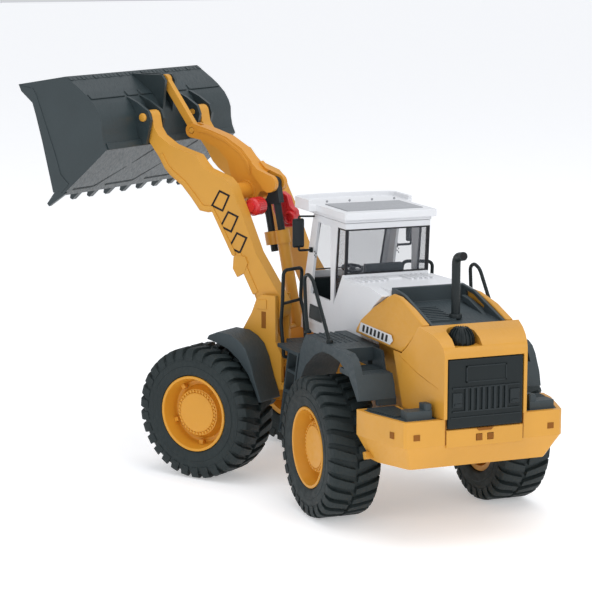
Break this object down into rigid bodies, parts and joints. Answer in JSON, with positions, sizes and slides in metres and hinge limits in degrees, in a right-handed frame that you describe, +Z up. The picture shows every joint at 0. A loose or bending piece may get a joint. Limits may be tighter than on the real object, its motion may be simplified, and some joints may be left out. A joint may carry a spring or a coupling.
{
  "type": "toy wheel loader",
  "caption": "Toy articulated wheel loader with a raised boom and bucket, steering centre joint, rolling wheels, open cab and rear engine hood.",
  "frame": {"origin": "on the ground, under the middle of the bounding box of the whole toy at rest", "axes": "+X forward along the rear body, +Y to its left, +Z up; the front body is turned 35.26 degrees to the left at rest"},
  "size_m": [0.5178, 0.3342, 0.328],
  "materials": {
    "yellow_plastic": "satin moulded plastic",
    "orange_plastic": "satin moulded plastic, a little deeper than the body colour",
    "slate_plastic": "fine textured moulded plastic",
    "black_plastic": "satin black plastic",
    "white_plastic": "satin white plastic",
    "grey_plastic": "matt grey plastic",
    "red_plastic": "gloss red plastic",
    "tyre_rubber": "matt soft tyre",
    "smoke_window": "clear smoked plastic"
  },
  "bodies": {
    "rear_body": {"rear_chassis": "yellow_plastic", "steering_pin": "black_plastic", "rear_axle": "slate_plastic", "counterweight": "yellow_plastic", "step_tread_left": "slate_plastic", "step_tread_right": "slate_plastic", "rear_cowl": "yellow_plastic", "hood_left": "yellow_plastic", "hood_right": "yellow_plastic", "engine_tray": "slate_plastic", "exhaust_stack": "slate_plastic", "air_intake": "black_plastic", "radiator_grille": "black_plastic", "cab_shell": "white_plastic", "cab_roof": "white_plastic", "roof_hatch": "grey_plastic", "quarter_window_left": "smoke_window", "quarter_window_right": "smoke_window", "windshield": "smoke_window", "rear_window": "smoke_window", "driver_seat": "slate_plastic", "steering_wheel": "black_plastic", "dashboard": "black_plastic", "mirror_left": "black_plastic", "mirror_right": "black_plastic", "engine_shroud": "white_plastic", "rear_fender_left": "slate_plastic", "rear_fender_right": "slate_plastic", "ladder_left": "slate_plastic", "ladder_right": "slate_plastic", "rear_rail_left": "black_plastic", "rear_rail_right": "black_plastic", "front_rail_left": "black_plastic", "front_rail_right": "black_plastic"},
    "front_body": {"front_chassis": "yellow_plastic", "front_axle": "slate_plastic", "front_fender_left": "slate_plastic", "front_fender_right": "slate_plastic"},
    "rear_left_wheel": {"tyre_rear_left": "tyre_rubber", "rim_rear_left": "yellow_plastic"},
    "rear_right_wheel": {"tyre_rear_right": "tyre_rubber", "rim_rear_right": "yellow_plastic"},
    "front_left_wheel": {"tyre_front_left": "tyre_rubber", "rim_front_left": "yellow_plastic"},
    "front_right_wheel": {"tyre_front_right": "tyre_rubber", "rim_front_right": "yellow_plastic"},
    "boom": {"boom_arm_left": "yellow_plastic", "boom_arm_right": "yellow_plastic", "cross_tube": "orange_plastic", "lock_knob_right": "red_plastic"},
    "knob": {"lock_knob_left": "red_plastic"},
    "crank": {"bellcrank": "orange_plastic"},
    "link": {"tilt_link": "yellow_plastic"},
    "scoop": {"bucket": "slate_plastic"},
    "lift_barrel_l": {"lift_barrel_left": "yellow_plastic"},
    "lift_barrel_r": {"lift_barrel_right": "yellow_plastic"},
    "lift_rod_l": {"lift_rod_left": "yellow_plastic"},
    "lift_rod_r": {"lift_rod_right": "yellow_plastic"},
    "tilt_tube": {"tilt_barrel": "yellow_plastic"},
    "tilt_ram": {"tilt_rods": "slate_plastic"}
  },
  "joints": [
    {"name": "steering", "type": "hinge", "parent": "rear_body", "child": "front_body", "pos_m": [-0.02793, -0.07389, 0.087], "axis": [0, 0, 1], "range_deg": [-71.26, 0.74]},
    {"name": "rear_left_wheel_spin", "type": "hinge", "parent": "rear_body", "child": "rear_left_wheel", "pos_m": [-0.13493, -0.00169, 0.055], "axis": [0, 1, 0], "continuous": true},
    {"name": "rear_right_wheel_spin", "type": "hinge", "parent": "rear_body", "child": "rear_right_wheel", "pos_m": [-0.13493, -0.14609, 0.055], "axis": [0, 1, 0], "continuous": true},
    {"name": "front_left_wheel_spin", "type": "hinge", "parent": "front_body", "child": "front_left_wheel", "pos_m": [0.01776, 0.04683, 0.055], "axis": [-0.5773, 0.8165, 0], "continuous": true},
    {"name": "front_right_wheel_spin", "type": "hinge", "parent": "front_body", "child": "front_right_wheel", "pos_m": [0.10112, -0.07107, 0.055], "axis": [-0.5773, 0.8165, 0], "continuous": true},
    {"name": "boom_lift", "type": "hinge", "parent": "front_body", "child": "boom", "pos_m": [0.02188, -0.03868, 0.142], "axis": [0.5773, -0.8165, 0], "range_deg": [-64, 3]},
    {"name": "bucket_tilt", "type": "hinge", "parent": "boom", "child": "scoop", "pos_m": [0.1264, 0.03522, 0.2925], "axis": [0.5773, -0.8165, 0], "range_deg": [-3, 60]},
    {"name": "bellcrank_swing", "type": "hinge", "parent": "boom", "child": "crank", "pos_m": [0.06352, -0.00923, 0.231], "axis": [0.5773, -0.8165, 0], "range_deg": [-14.4, 1]},
    {"name": "tilt_link_swing", "type": "hinge", "parent": "crank", "child": "link", "pos_m": [0.10925, 0.02309, 0.2795], "axis": [0.5773, -0.8165, 0], "range_deg": [-3.4, 62.8]},
    {"name": "lock_knob_turn", "type": "hinge", "parent": "boom", "child": "knob", "pos_m": [0.03565, -0.00445, 0.221], "axis": [-0.5773, 0.8165, 0], "continuous": true},
    {"name": "lift_barrel_left_swing", "type": "hinge", "parent": "front_body", "child": "lift_barrel_l", "pos_m": [-0.00568, -0.01529, 0.094], "axis": [0.5773, -0.8165, 0], "range_deg": [-29.94, 1.88]},
    {"name": "lift_rod_left_slide", "type": "slide", "parent": "lift_barrel_l", "child": "lift_rod_l", "axis": [0.3726, 0.2634, 0.8898], "range_m": [-0.02641, 0.00152]},
    {"name": "lift_barrel_right_swing", "type": "hinge", "parent": "front_body", "child": "lift_barrel_r", "pos_m": [0.03474, -0.07245, 0.094], "axis": [0.5773, -0.8165, 0], "range_deg": [-29.94, 1.88]},
    {"name": "lift_rod_right_slide", "type": "slide", "parent": "lift_barrel_r", "child": "lift_rod_r", "axis": [0.3726, 0.2634, 0.8898], "range_m": [-0.02641, 0.00152]},
    {"name": "tilt_tube_swing", "type": "hinge", "parent": "front_body", "child": "tilt_tube", "pos_m": [0.02433, -0.03694, 0.12], "axis": [0.5773, -0.8165, 0], "range_deg": [-55.8, 3.09]},
    {"name": "tilt_ram_slide", "type": "slide", "parent": "tilt_tube", "child": "tilt_ram", "axis": [0.155, 0.1095, 0.9818], "range_m": [-0.01592, 0.00103]}
  ],
  "couplings": [
    {"joint": "lift_barrel_left_swing", "follows": "boom_lift", "ratio": 0.46},
    {"joint": "lift_barrel_right_swing", "follows": "boom_lift", "ratio": 0.46},
    {"joint": "lift_rod_left_slide", "follows": "boom_lift", "m_per_rad": 0.023377},
    {"joint": "lift_rod_right_slide", "follows": "boom_lift", "m_per_rad": 0.023377},
    {"joint": "tilt_tube_swing", "follows": "boom_lift", "ratio": 0.864},
    {"joint": "tilt_ram_slide", "follows": "boom_lift", "m_per_rad": 0.01398},
    {"joint": "bellcrank_swing", "follows": "bucket_tilt", "ratio": -0.235},
    {"joint": "tilt_link_swing", "follows": "bucket_tilt", "ratio": 1.04}
  ]
}
